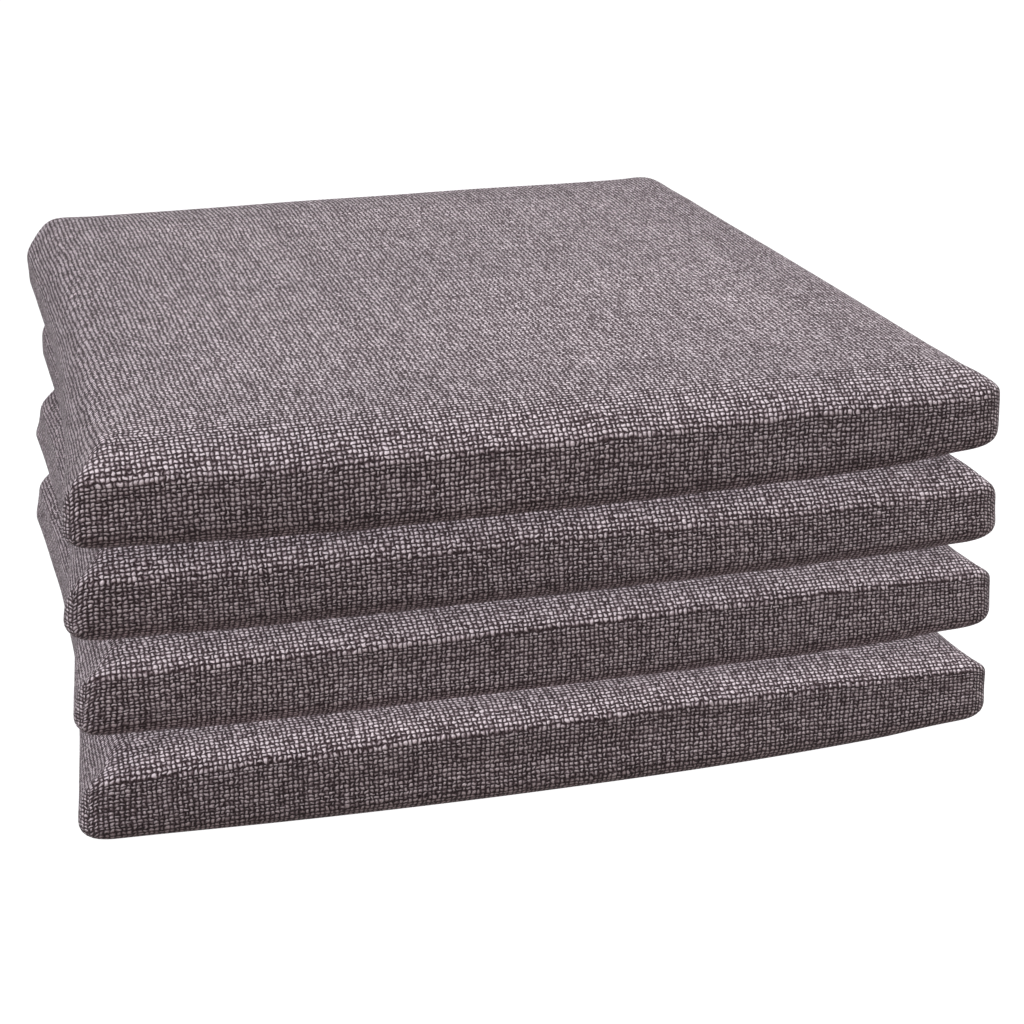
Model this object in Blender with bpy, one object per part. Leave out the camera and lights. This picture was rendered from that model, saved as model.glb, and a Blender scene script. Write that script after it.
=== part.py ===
"""Stack of tapered chair seat pads.

Each pad is a foam slab in a thin liner, inside a removable woven cover. The
cover's top and walls are one shell, its underside is a separate non-slip panel,
and its back wall is closed by a coil zip with a slider and a pull tab.

Metres, +Z up. +X is the sitter's right, and +Y points to the back of the seat.
The origin is the centre of the stack's footprint, on the surface it stands on.
Each pad is modelled in its own frame, centred on its underside, and is then
placed by its parent empty.
"""

import math

import bmesh
import bpy
from mathutils import Matrix, Vector

# Pad, seen from above
FRONT_WIDTH = 0.400
BACK_WIDTH = 0.352
DEPTH = 0.372
CORNER_RADIUS = 0.022
SIDE_PULL_IN = 0.0025
FRONT_BOW = 0.005

# Pad, seen from the side
THICKNESS = 0.041
TOP_EDGE_RADIUS = 0.0105
BOTTOM_EDGE_RADIUS = 0.0100
SEAM_FLANGE = 0.005

# Layers, from the outside in
FABRIC = 0.0012
BASE_FABRIC = 0.0014
SEAM_GAP = 0.0003
LINER = 0.0005
LINER_EASE = 0.0010
FOAM_EASE = 0.0004
ZIP_ROOM = 0.0040

# Coil zip, along the middle of the back wall
ZIP_CORNER_ROOM = 0.0090
SLOT_HEIGHT = 0.0106
SLOT_MARGIN = 0.004
TAPE = 0.0006
TAPE_EDGE = 0.0020
COIL_WIDTH = 0.0023
COIL_THICKNESS = 0.0018
COIL_SLIT = 0.0014
STOP_LENGTH = 0.0026
ZIP_GAP = 0.0003

# Zip slider and pull tab
SLIDER_LENGTH = 0.0110
SLIDER_TAIL_WIDTH = 0.0078
SLIDER_NOSE_WIDTH = 0.0096
SLIDER_PLATE = 0.0010
SLIDER_FLANGE = 0.0008
SLIDER_WEB = 0.0007
SLIDER_WEB_LENGTH = 0.0030
BAIL_LENGTH = 0.0062
BAIL_WIDTH = 0.0014
BAIL_WALL = 0.0009
BAIL_SLACK = 0.0008
PULL_THICKNESS = 0.0011
PULL_WIDTH = 0.0068
PULL_LENGTH = 0.0270
PULL_RAIL = 0.0014
PULL_WINDOW = 0.0062

# Blank care label, hanging from the zip's lower seam
LABEL_WIDTH = 0.024
LABEL_DROP = 0.0115
LABEL_THICKNESS = 0.0003
LABEL_FROM_ZIP_END = 0.034

# Stack: each pad's nudge in X and Y and its turn in degrees, from the floor up
PAD_GAP = 0.0003
NUDGES = (
    (0.0015, -0.0045, 0.0),
    (0.0045, 0.0020, -0.3),
    (0.0050, 0.0015, -0.8),
    (0.0010, 0.0010, 0.3),
)

# Mesh fineness
CORNER_STEPS = 4
BOW_POINTS = 3
COVER_EDGE_STEPS = 3
LAYER_EDGE_STEPS = 2
CUTTER_REACH = 0.010

# Colour, roughness and metallic value of each finish
FINISHES = {
    "woven_cover": ((0.27, 0.22, 0.24, 1.0), 0.90, 0.0),
    "non_slip_base": ((0.12, 0.11, 0.12, 1.0), 0.80, 0.0),
    "foam": ((0.86, 0.82, 0.68, 1.0), 0.95, 0.0),
    "liner_cloth": ((0.85, 0.85, 0.84, 1.0), 0.90, 0.0),
    "zip_tape": ((0.20, 0.17, 0.18, 1.0), 0.85, 0.0),
    "zip_coil": ((0.16, 0.14, 0.15, 1.0), 0.45, 0.0),
    "zip_metal": ((0.45, 0.44, 0.44, 1.0), 0.30, 1.0),
    "label_cloth": ((0.88, 0.88, 0.87, 1.0), 0.60, 0.0),
}

LINER_OFFSET = FABRIC + LINER_EASE
FOAM_OFFSET = LINER_OFFSET + LINER + FOAM_EASE
BACK_Y = DEPTH / 2
COVER_INNER_Y = BACK_Y - FABRIC
TAPE_OUTER_Y = COVER_INNER_Y - ZIP_GAP
TAPE_INNER_Y = TAPE_OUTER_Y - TAPE
COIL_INNER_Y = TAPE_OUTER_Y + ZIP_GAP
COIL_OUTER_Y = COIL_INNER_Y + COIL_THICKNESS
PLATE_INNER_Y = COIL_OUTER_Y + ZIP_GAP
PLATE_OUTER_Y = PLATE_INNER_Y + SLIDER_PLATE
ZIP_HEIGHT = (BOTTOM_EDGE_RADIUS + THICKNESS - TOP_EDGE_RADIUS) / 2
ZIP_END = BACK_WIDTH / 2 - CORNER_RADIUS - ZIP_CORNER_ROOM
BAIL_OPENING = PULL_THICKNESS + BAIL_SLACK
SLIDER_X = ZIP_END - SLIDER_LENGTH / 2


def clear_scene():
    for obj in list(bpy.data.objects):
        bpy.data.objects.remove(obj, do_unlink=True)


def finish_material(name):
    """The named finish as a Principled material, made once."""
    found = bpy.data.materials.get(name)
    if found:
        return found
    material = bpy.data.materials.new(name)
    material.use_nodes = True
    shader = material.node_tree.nodes["Principled BSDF"]
    colour, roughness, metallic = FINISHES[name]
    shader.inputs["Base Color"].default_value = colour
    shader.inputs["Roughness"].default_value = roughness
    shader.inputs["Metallic"].default_value = metallic
    return material


def mesh_from(bm, name, finish):
    """A mesh with its faces turned outwards, shaded smooth across shallow edges."""
    bmesh.ops.recalc_face_normals(bm, faces=bm.faces)
    mesh = bpy.data.meshes.new(name)
    bm.to_mesh(mesh)
    bm.free()
    mesh.shade_smooth()
    mesh.set_sharp_from_angle(angle=math.radians(35))
    mesh.materials.append(finish_material(finish))
    return mesh


def link(name, mesh, parent):
    obj = bpy.data.objects.new(name, mesh)
    bpy.context.scene.collection.objects.link(obj)
    obj.parent = parent
    return obj


def anchor(name, location, parent=None, turn=0.0):
    empty = bpy.data.objects.new(name, None)
    bpy.context.scene.collection.objects.link(empty)
    empty.parent = parent
    empty.location = location
    empty.rotation_euler.z = turn
    return empty


def rounded_loop(corners, radius, bows):
    """An anticlockwise outline: each corner becomes an arc, and the side that
    leaves it is drawn inwards by the matching bow, or outwards if that is negative."""
    count = len(corners)
    arcs = []
    for i, corner in enumerate(corners):
        inward = (corner - corners[i - 1]).normalized()
        outward = (corners[(i + 1) % count] - corner).normalized()
        turn = inward.angle_signed(outward) * -1
        start = corner - inward * radius * math.tan(turn / 2)
        centre = start + Vector((-inward.y, inward.x)) * radius
        arcs.append(
            [
                centre + Matrix.Rotation(turn * k / CORNER_STEPS, 2) @ (start - centre)
                for k in range(CORNER_STEPS + 1)
            ]
        )
    loop = []
    for i, arc in enumerate(arcs):
        loop += arc
        side = arcs[(i + 1) % count][0] - arc[-1]
        normal = Vector((-side.y, side.x)).normalized()
        for k in range(1, BOW_POINTS + 1):
            share = k / (BOW_POINTS + 1)
            if bows[i]:
                loop.append(
                    arc[-1] + side * share + normal * bows[i] * math.sin(math.pi * share)
                )
    return loop


def pad_loop(inset=0.0, back_inset=None):
    """The pad's outline seen from above, drawn in by inset, and by back_inset
    at the back wall, which the zip keeps straight."""
    back_inset = inset if back_inset is None else back_inset
    lean = (BACK_WIDTH - FRONT_WIDTH) / 2 / DEPTH
    side_inset = inset * math.hypot(1, lean)

    def half_width(y):
        return FRONT_WIDTH / 2 + lean * (y + DEPTH / 2) - side_inset

    front = -DEPTH / 2 + inset
    back = DEPTH / 2 - back_inset
    corners = [
        Vector((-half_width(front), front)),
        Vector((half_width(front), front)),
        Vector((half_width(back), back)),
        Vector((-half_width(back), back)),
    ]
    bows = (-FRONT_BOW, SIDE_PULL_IN, 0.0, SIDE_PULL_IN)
    return rounded_loop(corners, CORNER_RADIUS - inset, bows)


def loft(bm, sections):
    """A closed body through loops that all have the same number of points."""
    rings = [[bm.verts.new((p.x, p.y, z)) for p in loop] for loop, z in sections]
    count = len(rings[0])
    for lower, upper in zip(rings, rings[1:]):
        for i in range(count):
            j = (i + 1) % count
            bm.faces.new((lower[i], lower[j], upper[j], upper[i]))
    bm.faces.new(rings[0][::-1])
    bm.faces.new(rings[-1])


def prism(bm, loop, low, high):
    loft(bm, [(loop, low), (loop, high)])


def side_profile(offset, steps):
    """The pad's side from the underside to the top, this far in from its outside,
    as pairs of inset and height."""
    points = []
    for centre_z, radius, first in (
        (BOTTOM_EDGE_RADIUS, BOTTOM_EDGE_RADIUS, -90),
        (THICKNESS - TOP_EDGE_RADIUS, TOP_EDGE_RADIUS, 0),
    ):
        for k in range(steps + 1):
            angle = math.radians(first + 90 * k / steps)
            reach = radius - offset
            points.append(
                (radius - reach * math.cos(angle), centre_z + reach * math.sin(angle))
            )
    return points


def profile_sections(profile, back_room=0.0):
    return [(pad_loop(inset, inset + back_room), z) for inset, z in profile]


def solid_layer(offset, steps, back_room=0.0):
    bm = bmesh.new()
    loft(bm, profile_sections(side_profile(offset, steps), back_room))
    return bm


def box_mesh(name, low, high, finish):
    bm = bmesh.new()
    size = Vector(high) - Vector(low)
    middle = (Vector(high) + Vector(low)) / 2
    bmesh.ops.create_cube(bm, size=1.0)
    bmesh.ops.scale(bm, vec=size, verts=bm.verts)
    bmesh.ops.translate(bm, vec=middle, verts=bm.verts)
    return mesh_from(bm, name, finish)


def subtract(obj, cutter, name):
    cut = obj.modifiers.new(name, "BOOLEAN")
    cut.operation = "DIFFERENCE"
    cut.object = cutter


def hide(cutter):
    cutter.hide_render = True
    cutter.display_type = "WIRE"


def cover_top_mesh():
    """Top and walls in one shell, open underneath inside the seam flange."""
    outside = side_profile(0.0, COVER_EDGE_STEPS)
    inside = side_profile(FABRIC, COVER_EDGE_STEPS)
    flange_end = BOTTOM_EDGE_RADIUS + SEAM_FLANGE
    profile = inside[::-1] + [(flange_end, FABRIC), (flange_end, 0.0)] + outside
    bm = bmesh.new()
    loft(bm, profile_sections(profile))
    return mesh_from(bm, "cover_top", "woven_cover")


def zip_slot_mesh():
    half = ZIP_END + STOP_LENGTH + SLOT_MARGIN
    low = (-half, BACK_Y - CUTTER_REACH, ZIP_HEIGHT - SLOT_HEIGHT / 2)
    high = (half, BACK_Y + CUTTER_REACH, ZIP_HEIGHT + SLOT_HEIGHT / 2)
    return box_mesh("zip_slot", low, high, "woven_cover")


def cover_base_mesh():
    """The underside panel, which fills the shell's opening up to the seam."""
    bm = bmesh.new()
    inset = BOTTOM_EDGE_RADIUS + SEAM_FLANGE + SEAM_GAP
    prism(bm, pad_loop(inset), 0.0, BASE_FABRIC)
    return mesh_from(bm, "cover_base", "non_slip_base")


def liner_mesh():
    bm = solid_layer(LINER_OFFSET, LAYER_EDGE_STEPS, ZIP_ROOM)
    return mesh_from(bm, "foam_liner", "liner_cloth")


def liner_room_mesh():
    """What the liner is hollowed by."""
    bm = solid_layer(LINER_OFFSET + LINER, LAYER_EDGE_STEPS, ZIP_ROOM)
    return mesh_from(bm, "liner_room", "liner_cloth")


def liner_mouth_mesh():
    """Opens the liner along its back, where the foam goes in."""
    y = BACK_Y - LINER_OFFSET - ZIP_ROOM
    low = (-ZIP_END, y - CUTTER_REACH, BOTTOM_EDGE_RADIUS)
    high = (ZIP_END, y + CUTTER_REACH, THICKNESS - TOP_EDGE_RADIUS)
    return box_mesh("liner_mouth", low, high, "liner_cloth")


def foam_mesh():
    bm = solid_layer(FOAM_OFFSET, LAYER_EDGE_STEPS, ZIP_ROOM)
    return mesh_from(bm, "foam_core", "foam")


def zip_tape_mesh(side):
    """One tape, from the slit between the coils to behind the cover's edge."""
    half = ZIP_END + STOP_LENGTH + SLOT_MARGIN / 2
    reach = SLOT_HEIGHT / 2 + TAPE_EDGE
    levels = sorted((ZIP_HEIGHT + side * COIL_SLIT / 2, ZIP_HEIGHT + side * reach))
    low = (-half, TAPE_INNER_Y, levels[0])
    high = (half, TAPE_OUTER_Y, levels[1])
    return box_mesh("zip_tape", low, high, "zip_tape")


def zip_coil_mesh(side):
    """One half of the closed coil, as a plain bar."""
    near = ZIP_HEIGHT + side * COIL_SLIT / 2
    levels = sorted((near, near + side * COIL_WIDTH))
    low = (-ZIP_END, COIL_INNER_Y, levels[0])
    high = (ZIP_END, COIL_OUTER_Y, levels[1])
    return box_mesh("zip_coil", low, high, "zip_coil")


def zip_stop_mesh(end):
    """A small crimped stop just past one end of the coil."""
    start = end * (ZIP_END + ZIP_GAP)
    ends = sorted((start, start + end * STOP_LENGTH))
    half = COIL_SLIT / 2 + COIL_WIDTH
    low = (ends[0], COIL_INNER_Y, ZIP_HEIGHT - half)
    high = (ends[1], COIL_OUTER_Y + ZIP_GAP, ZIP_HEIGHT + half)
    return box_mesh("zip_stop", low, high, "zip_metal")


def plate_outline(inset=0.0):
    """The slider seen from outside: wide at its nose, at +X, and narrower at its tail."""
    half = SLIDER_LENGTH / 2 - inset
    tail = SLIDER_TAIL_WIDTH / 2 - inset
    nose = SLIDER_NOSE_WIDTH / 2 - inset
    shoulder = half - SLIDER_WEB_LENGTH
    return [
        Vector((-half, -tail)),
        Vector((shoulder, -nose)),
        Vector((half, -nose * 0.55)),
        Vector((half, nose * 0.55)),
        Vector((shoulder, nose)),
        Vector((-half, tail)),
    ]


def upright_to_back(bm):
    """Turns what was modelled lying flat so that its top faces the pad's back."""
    turn = Matrix(((1, 0, 0), (0, 0, 1), (0, 1, 0)))
    bmesh.ops.transform(bm, matrix=turn.to_4x4(), verts=bm.verts)


def bar(bm, low, high):
    """A box added to a bmesh, as one of the bodies that a union joins."""
    made = bmesh.ops.create_cube(bm, size=1.0)["verts"]
    low, high = Vector(low), Vector(high)
    bmesh.ops.scale(bm, vec=high - low, verts=made)
    bmesh.ops.translate(bm, vec=(low + high) / 2, verts=made)


def slider_pieces():
    """The slider's plates, flanges, web and bail, in its own flat frame: X along
    the zip, Y across it, and Z outwards from the coil's outer face."""
    overlap = SLIDER_PLATE / 2
    plate_low = ZIP_GAP
    plate_high = plate_low + SLIDER_PLATE
    lower_high = TAPE_INNER_Y - ZIP_GAP - COIL_OUTER_Y
    lower_low = lower_high - SLIDER_PLATE
    flange_low = ZIP_GAP - COIL_THICKNESS
    flange_near = COIL_SLIT / 2 + COIL_WIDTH + ZIP_GAP
    flange_far = flange_near + SLIDER_FLANGE
    half = SLIDER_LENGTH / 2
    web_from = half - SLIDER_WEB_LENGTH - BAIL_WALL
    web_to = half - BAIL_WALL
    bail_half = BAIL_LENGTH / 2
    bail_inner = plate_high + BAIL_OPENING
    bail_top = bail_inner + BAIL_WALL
    straight = half - SLIDER_WEB_LENGTH - SLIDER_PLATE

    outer_plate = bmesh.new()
    prism(outer_plate, plate_outline(), plate_low, plate_high)
    inner_plate = bmesh.new()
    prism(inner_plate, plate_outline(SLIDER_PLATE / 2), lower_low, lower_high)
    rest = []
    for side in (-1, 1):
        across = sorted((side * flange_near, side * flange_far))
        rest.append(
            (
                (-half + SLIDER_PLATE, across[0], flange_low),
                (straight, across[1], plate_low + overlap),
            )
        )
    rest.append(
        (
            (web_from, -SLIDER_WEB / 2, lower_high - overlap),
            (web_to, SLIDER_WEB / 2, plate_low + overlap),
        )
    )
    for end in (-1, 1):
        along = sorted((end * bail_half, end * (bail_half - BAIL_WALL)))
        rest.append(
            (
                (along[0], -BAIL_WIDTH / 2, plate_high - overlap),
                (along[1], BAIL_WIDTH / 2, bail_top),
            )
        )
    rest.append(
        (
            (-bail_half, -BAIL_WIDTH / 2, bail_inner),
            (bail_half, BAIL_WIDTH / 2, bail_top),
        )
    )
    made = [outer_plate, inner_plate]
    for low, high in rest:
        bm = bmesh.new()
        bar(bm, low, high)
        made.append(bm)
    return made


def join_bodies(obj, bodies):
    """Unites the object with each of the other bodies, which stay as hidden helpers."""
    for i, body in enumerate(bodies):
        helper = link(f"{obj.name}_helper_{i}", body, obj.parent)
        helper.location = obj.location
        hide(helper)
        union = obj.modifiers.new(f"join_{i}", "BOOLEAN")
        union.operation = "UNION"
        union.object = helper


def slider_meshes():
    meshes = []
    for bm in slider_pieces():
        upright_to_back(bm)
        meshes.append(mesh_from(bm, "zip_slider", "zip_metal"))
    return meshes


def pull_mesh():
    """A flat tab with a window at its hinged end, which the bail passes through.

    Its own frame has the hinge's axis along Z through its end rail, and the tab
    lies along -X, the way it points while the zip is shut."""
    end = -PULL_LENGTH + PULL_RAIL / 2
    half = PULL_WIDTH / 2
    tip = PULL_WIDTH * 0.35
    outline = [
        Vector((PULL_RAIL / 2, -half)),
        Vector((PULL_RAIL / 2, half)),
        Vector((end + tip, half)),
        Vector((end, half - tip)),
        Vector((end, tip - half)),
        Vector((end + tip, -half)),
    ]
    bm = bmesh.new()
    prism(bm, outline, -PULL_THICKNESS / 2, PULL_THICKNESS / 2)
    upright_to_back(bm)
    return mesh_from(bm, "zip_pull", "zip_metal")


def pull_window_mesh():
    width = PULL_WIDTH - 2 * PULL_RAIL
    high = (-PULL_RAIL / 2, CUTTER_REACH, width / 2)
    low = (-PULL_RAIL / 2 - PULL_WINDOW, -CUTTER_REACH, -width / 2)
    return box_mesh("pull_window", low, high, "zip_metal")


def label_mesh():
    high_z = ZIP_HEIGHT - SLOT_HEIGHT / 2
    x = -ZIP_END + LABEL_FROM_ZIP_END
    low = (x, BACK_Y + SEAM_GAP, high_z - LABEL_DROP)
    high = (x + LABEL_WIDTH, BACK_Y + SEAM_GAP + LABEL_THICKNESS, high_z)
    return box_mesh("care_label", low, high, "label_cloth")


def shared_meshes():
    """Every mesh that the pads share, made once."""
    return {
        "cover_top": cover_top_mesh(),
        "zip_slot": zip_slot_mesh(),
        "cover_base": cover_base_mesh(),
        "foam_liner": liner_mesh(),
        "liner_room": liner_room_mesh(),
        "liner_mouth": liner_mouth_mesh(),
        "foam_core": foam_mesh(),
        "zip_tape_upper": zip_tape_mesh(1),
        "zip_tape_lower": zip_tape_mesh(-1),
        "zip_coil_upper": zip_coil_mesh(1),
        "zip_coil_lower": zip_coil_mesh(-1),
        "zip_stop_closed": zip_stop_mesh(1),
        "zip_stop_open": zip_stop_mesh(-1),
        "care_label": label_mesh(),
        "zip_slider": slider_meshes(),
        "zip_pull": pull_mesh(),
        "pull_window": pull_window_mesh(),
    }


def build_cover(pad, root, meshes):
    top = link(f"{pad}_cover_top", meshes["cover_top"], root)
    slot = link(f"{pad}_zip_slot", meshes["zip_slot"], root)
    hide(slot)
    subtract(top, slot, "zip slot")
    link(f"{pad}_cover_base", meshes["cover_base"], root)
    link(f"{pad}_care_label", meshes["care_label"], root)


def build_filling(pad, root, meshes):
    liner = link(f"{pad}_foam_liner", meshes["foam_liner"], root)
    for cutter_name in ("liner_room", "liner_mouth"):
        cutter = link(f"{pad}_{cutter_name}", meshes[cutter_name], root)
        hide(cutter)
        subtract(liner, cutter, cutter_name)
    link(f"{pad}_foam_core", meshes["foam_core"], root)


def build_zip(pad, root, meshes):
    for name in (
        "zip_tape_upper",
        "zip_tape_lower",
        "zip_coil_upper",
        "zip_coil_lower",
        "zip_stop_closed",
        "zip_stop_open",
    ):
        link(f"{pad}_{name}", meshes[name], root)

    carriage = anchor(
        f"{pad}_slider_axis", (SLIDER_X, COIL_OUTER_Y, ZIP_HEIGHT), root
    )
    bodies = meshes["zip_slider"]
    slider = link(f"{pad}_zip_slider", bodies[0], carriage)
    join_bodies(slider, bodies[1:])

    hinge_x = BAIL_LENGTH / 2 - BAIL_WALL - PULL_RAIL
    hinge_y = ZIP_GAP + SLIDER_PLATE + BAIL_OPENING / 2
    hinge = anchor(f"{pad}_pull_axis", (hinge_x, hinge_y, 0.0), carriage)
    pull = link(f"{pad}_zip_pull", meshes["zip_pull"], hinge)
    window = link(f"{pad}_pull_window", meshes["pull_window"], hinge)
    hide(window)
    subtract(pull, window, "window")


def centred_places():
    """Each pad's place in the stack, moved so that the footprint is centred."""
    reach = PLATE_OUTER_Y - BACK_Y + BAIL_OPENING + BAIL_WALL
    points = []
    for x, y, degrees in NUDGES:
        turn = Matrix.Rotation(math.radians(degrees), 2)
        points += [turn @ p + Vector((x, y)) for p in pad_loop()]
        bail = Vector((SLIDER_X, BACK_Y + reach))
        points.append(turn @ bail + Vector((x, y)))
    xs = [p.x for p in points]
    ys = [p.y for p in points]
    middle = Vector(((min(xs) + max(xs)) / 2, (min(ys) + max(ys)) / 2))
    places = []
    for level, (x, y, degrees) in enumerate(NUDGES):
        height = level * (THICKNESS + PAD_GAP)
        spot = Vector((x - middle.x, y - middle.y, height))
        places.append((spot, math.radians(degrees)))
    return places


def main():
    clear_scene()
    meshes = shared_meshes()
    for level, (spot, turn) in enumerate(centred_places(), start=1):
        pad = f"pad_{level}"
        root = anchor(f"{pad}_axis", spot, turn=turn)
        build_cover(pad, root, meshes)
        build_filling(pad, root, meshes)
        build_zip(pad, root, meshes)


main()
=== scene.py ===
"""The looks of a stack of four woven chair seat pads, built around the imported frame.

Every pad is made in its own frame, which has its origin at the centre of the
pad's underside, +Y to the back and +Z up, and is then placed where the frame's
nodes say. Lengths are metres.
"""

import math

import bmesh
import bpy
import numpy as np
from mathutils import Matrix, Vector


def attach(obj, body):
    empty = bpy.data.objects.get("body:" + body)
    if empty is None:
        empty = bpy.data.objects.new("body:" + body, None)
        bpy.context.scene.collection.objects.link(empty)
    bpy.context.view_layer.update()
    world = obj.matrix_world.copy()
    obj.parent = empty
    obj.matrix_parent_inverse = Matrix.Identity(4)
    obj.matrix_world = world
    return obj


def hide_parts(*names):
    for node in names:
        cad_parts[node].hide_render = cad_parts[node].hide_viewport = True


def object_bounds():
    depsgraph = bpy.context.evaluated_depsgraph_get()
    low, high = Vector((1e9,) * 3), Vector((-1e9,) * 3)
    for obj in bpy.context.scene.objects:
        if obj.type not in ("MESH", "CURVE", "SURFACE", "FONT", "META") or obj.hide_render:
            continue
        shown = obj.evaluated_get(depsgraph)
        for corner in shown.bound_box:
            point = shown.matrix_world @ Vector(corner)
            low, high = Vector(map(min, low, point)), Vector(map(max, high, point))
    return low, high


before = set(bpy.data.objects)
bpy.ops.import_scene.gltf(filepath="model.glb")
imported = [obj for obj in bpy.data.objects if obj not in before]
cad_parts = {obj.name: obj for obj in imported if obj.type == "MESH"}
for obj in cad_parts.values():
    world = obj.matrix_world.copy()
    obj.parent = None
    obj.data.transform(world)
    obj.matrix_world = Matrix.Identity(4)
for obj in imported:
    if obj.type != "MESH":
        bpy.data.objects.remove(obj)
cad_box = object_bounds()

PADS = (1, 2, 3, 4)

# The cover's section. Its roundings below and above the wall are near to quarter
# ellipses: how far in they reach, and how far they rise. UPPER_PLAIN is the upper
# one's rise on the back wall
LOWER_REACH = 0.0105
UPPER_REACH = 0.0200
LOWER_RISE = 0.0085
UPPER_PLAIN = 0.0095
ROUND_POWER = 0.86
BACK_TIGHTER = 0.4
SEAM_INSET = 0.0160
BASE_GAP = 0.0003
BASE_THICKNESS = 0.0012
COVER_THICKNESS = 0.0011

# How much further the top falls to the wall at the back, on the left and, pad by
# pad, on the right. The side walls lose some of it to a fuller rounding
BACK_FALL = 0.0020
LEFT_FALL = 0.0200
LEFT_FALL_AT_BACK = 0.35
RIGHT_FALLS = (0.015, 0.014, 0.014, 0.0035)
RIGHT_FULLER = 0.10
LEFT_FULLER = 0.20

# Plan: the halves of the width at the front and at the back, the corner radii
# from front left, anticlockwise, and how far the sides bow outwards
FRONT_HALF = 0.200
BACK_HALF = 0.176
CORNER_RADII = (0.011, 0.013, 0.018, 0.016)
LEAST_RADIUS = 0.004
SIDE_BOWS = (0.005, -0.0005, 0.0, -0.0075)
ARC_STEPS = 40
SIDE_STEPS = 120

# How each pad has settled, from the bottom one up: the fall of its front edge, the
# lift of its underside's rim, the droop of its corners, and the lift of the left
# and right ones
FRONT_FALLS = (0.007, 0.007, 0.011, 0.0095)
RIM_LIFTS = (0.0, 0.004, 0.005, 0.001)
CORNER_DROOPS = (0.0045, 0.0035, 0.0005, 0.001)
CORNER_LIFTS = ((0.002, 0.0045), (0.001, 0.0025), (0.0005, 0.0025), (0.003, 0.0055))

# How wide a lifted rim is, how sharply these effects gather at the corners and at
# the rim, how high a free top is crowned, and how uneven edges and walls are
RIM_WIDTH = 0.034
CORNER_POWER = 2.2
RIM_POWER = 10
TOP_PAD_CROWN = 0.0038
TOP_UNEVEN = 0.0004
WALL_UNEVEN = 0.0006

# How far each pad's left side has spread, at its front and at its back, and the
# share of the height, counted from the underside, over which it fades
LEFT_SPREADS = ((0.003, 0.006), (0.004, 0.0065), (0.004, 0.001), (0.002, -0.002))
SPREAD_HEIGHT = 1.15

# The cloth solver, and how far it may move a point
CLOTH_SETTINGS = {
    "quality": 6,
    "mass": 0.25,
    "tension_stiffness": 25,
    "compression_stiffness": 20,
    "shear_stiffness": 12,
    "bending_stiffness": 2.0,
    "use_pressure": True,
    "uniform_pressure_force": 4.0,
}
CLOTH_FRAMES = 20
MOST_SWELL = 0.0010

# The zip, as the frame has it: its slot in the back wall, tapes and coils
SLOT_LOW = 0.01495
SLOT_HIGH = 0.02555
SLOT_HALF = 0.1516
TAPE_HALF = 0.1496
COIL_HALF = 0.145
ZIP_MIDDLE = (SLOT_LOW + SLOT_HIGH) / 2

# The wire of a coil, the stitches round the slot, and the thin sheets
COIL_PITCH = 0.0014
COIL_WIRE = 0.00034
COIL_STEPS = 10
TAPE_THICKNESS = 0.0005
STITCH_PITCH = 0.0034
STITCH_LENGTH = 0.0027
STITCH_RISE = 0.00035
STITCH_THREAD = 0.00026
LABEL_WIDTH = 0.024
LABEL_THICKNESS = 0.0003

# Inside the cover: how far in from its outside the liner and the foam start, and
# the room for the zip behind them
LINER_INSET = 0.0024
FOAM_INSET = 0.0034
ZIP_ROOM = 0.0040
LINER_THICKNESS = 0.0005

# The weave: the spacing of its yarns, and how far, in yarns, they wander over the
# whole cloth and from one crossing to the next
YARN_PITCH = 0.00205
ROW_PITCH = 0.00205
YARN_DRIFT = 1.5
YARN_WOBBLE = 0.90

# The cover's mesh: cells along its sides, and the rows of its section that lie
# between the slot's edges
CELLS_X = 80
CELLS_Y = 74
LOWER_ROWS = 4
UPPER_ROWS = 7
SLOT_ROWS = (LOWER_ROWS + 2, LOWER_ROWS + 3)


# ---------- pad frames


def points_of(node):
    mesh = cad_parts[node].data
    co = np.empty(len(mesh.vertices) * 3, np.float32)
    mesh.vertices.foreach_get("co", co)
    return co.reshape(-1, 3).astype(float)


class Pad:
    """Where a pad is, how it is turned, and its plan sizes, all from the frame."""

    def __init__(self, number):
        self.number = number
        self.name = f"pad_{number}"
        coil = points_of(f"{self.name}_zip_coil_upper")
        left = coil[coil[:, 0] < coil[:, 0].mean()].mean(0)
        right = coil[coil[:, 0] > coil[:, 0].mean()].mean(0)
        self.yaw = math.atan2(right[1] - left[1], right[0] - left[0])
        turn = np.array(Matrix.Rotation(-self.yaw, 3, "Z"))
        cover = points_of(f"{self.name}_cover_top") @ turn.T
        low, high = cover.min(0), cover.max(0)
        middle_x = (low[0] + high[0]) / 2
        self.thickness = high[2] - low[2]
        self.half_depth = (high[1] - low[1] - SIDE_BOWS[0]) / 2
        centre = np.array([middle_x, high[1] - self.half_depth, low[2]])
        self.origin = np.linalg.inv(turn) @ centre
        self.matrix = Matrix.Translation(self.origin.tolist()) @ Matrix.Rotation(
            self.yaw, 4, "Z"
        )


def half_width(pad, y):
    share = (y + pad.half_depth) / (2 * pad.half_depth)
    return FRONT_HALF + (BACK_HALF - FRONT_HALF) * share


# ---------- plan curves


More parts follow.
